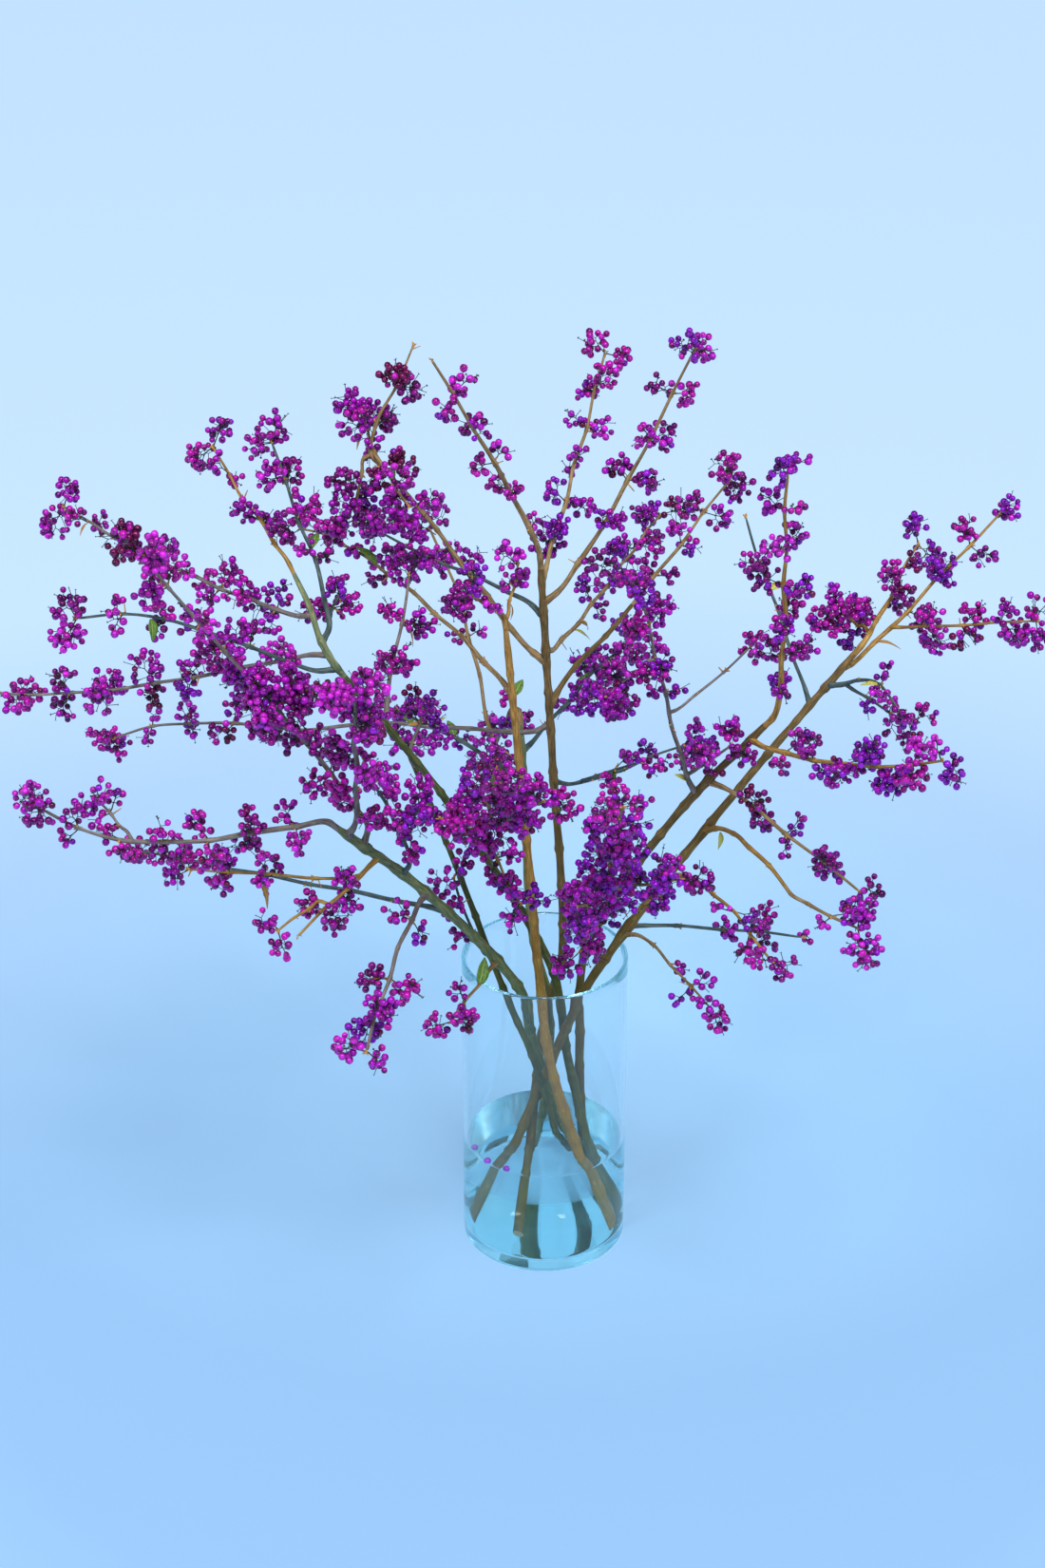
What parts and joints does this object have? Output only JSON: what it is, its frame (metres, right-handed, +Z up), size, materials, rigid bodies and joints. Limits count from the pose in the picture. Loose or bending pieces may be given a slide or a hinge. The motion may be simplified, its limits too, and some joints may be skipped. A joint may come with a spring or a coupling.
{
  "type": "cut beautyberry branches in a glass vase",
  "caption": "Cut berry-bearing shrub branches fanning out of a clear glass cylinder vase part filled with water.",
  "frame": {"origin": "centre of the vase's flat underside", "axes": "+Z up along the vase's axis, +X to the right and +Y away from the viewer of the picture"},
  "size_m": [0.6233, 0.4374, 0.5943],
  "materials": {
    "clear_glass": "clear, polished, faint aqua edge",
    "clear_water": "clear water, still surface",
    "stem_bark": "smooth green-brown bark",
    "bough_bark": "tan-brown bark with raised leaf scars",
    "violet_berries": "violet berries with a soft shine on brown twigs",
    "magenta_berries": "magenta-purple berries with a soft shine on brown twigs"
  },
  "bodies": {
    "root": {"vase": "clear_glass", "water": "clear_water", "stem_left": "stem_bark", "stem_left_thin": "stem_bark", "stem_front": "stem_bark", "stem_cross": "stem_bark", "stem_centre": "stem_bark", "stem_right_high": "stem_bark", "stem_right_low": "stem_bark", "stem_back": "stem_bark", "bough_upper_left": "bough_bark", "bough_level_left": "bough_bark", "bough_top_left": "bough_bark", "bough_back_right": "bough_bark", "bough_low_right": "bough_bark", "spray_arc": "magenta_berries", "spray_left_hanging": "magenta_berries", "spray_low_left": "magenta_berries", "spray_front_hanging": "magenta_berries", "spray_rim_left": "magenta_berries", "spray_front_tall": "magenta_berries", "spray_front_inner": "magenta_berries", "spray_left_front": "magenta_berries", "spray_far_left": "magenta_berries", "spray_upper_left": "magenta_berries", "spray_left_rising": "magenta_berries", "spray_left_upper": "magenta_berries", "spray_left_long": "magenta_berries", "spray_level_left": "magenta_berries", "spray_inner_left": "magenta_berries", "spray_mid_left": "magenta_berries", "spray_far_back_left": "magenta_berries", "spray_top_left": "magenta_berries", "spray_top": "magenta_berries", "spray_front_top": "magenta_berries", "spray_top_back": "violet_berries", "spray_top_right": "violet_berries", "spray_back_right": "violet_berries", "spray_far_back_right": "violet_berries", "spray_right_inner": "violet_berries", "spray_mid_right": "violet_berries", "spray_right_tall": "violet_berries", "spray_right_behind": "violet_berries", "spray_right_far": "violet_berries", "spray_right_long": "violet_berries", "spray_right_low": "violet_berries", "spray_right_front": "violet_berries", "spray_front_right_low": "violet_berries", "spray_low_right_tip": "violet_berries", "spray_rim_right": "violet_berries", "spray_rim_level": "violet_berries", "spray_rim_front": "violet_berries", "spray_front_centre": "magenta_berries", "spray_front_right": "violet_berries", "spray_thin_tip": "magenta_berries", "spray_thin_low": "magenta_berries", "spray_back_low": "magenta_berries", "spray_back_left": "magenta_berries", "spray_back_mid": "violet_berries", "spray_back_high": "magenta_berries"}
  },
  "joints": []
}
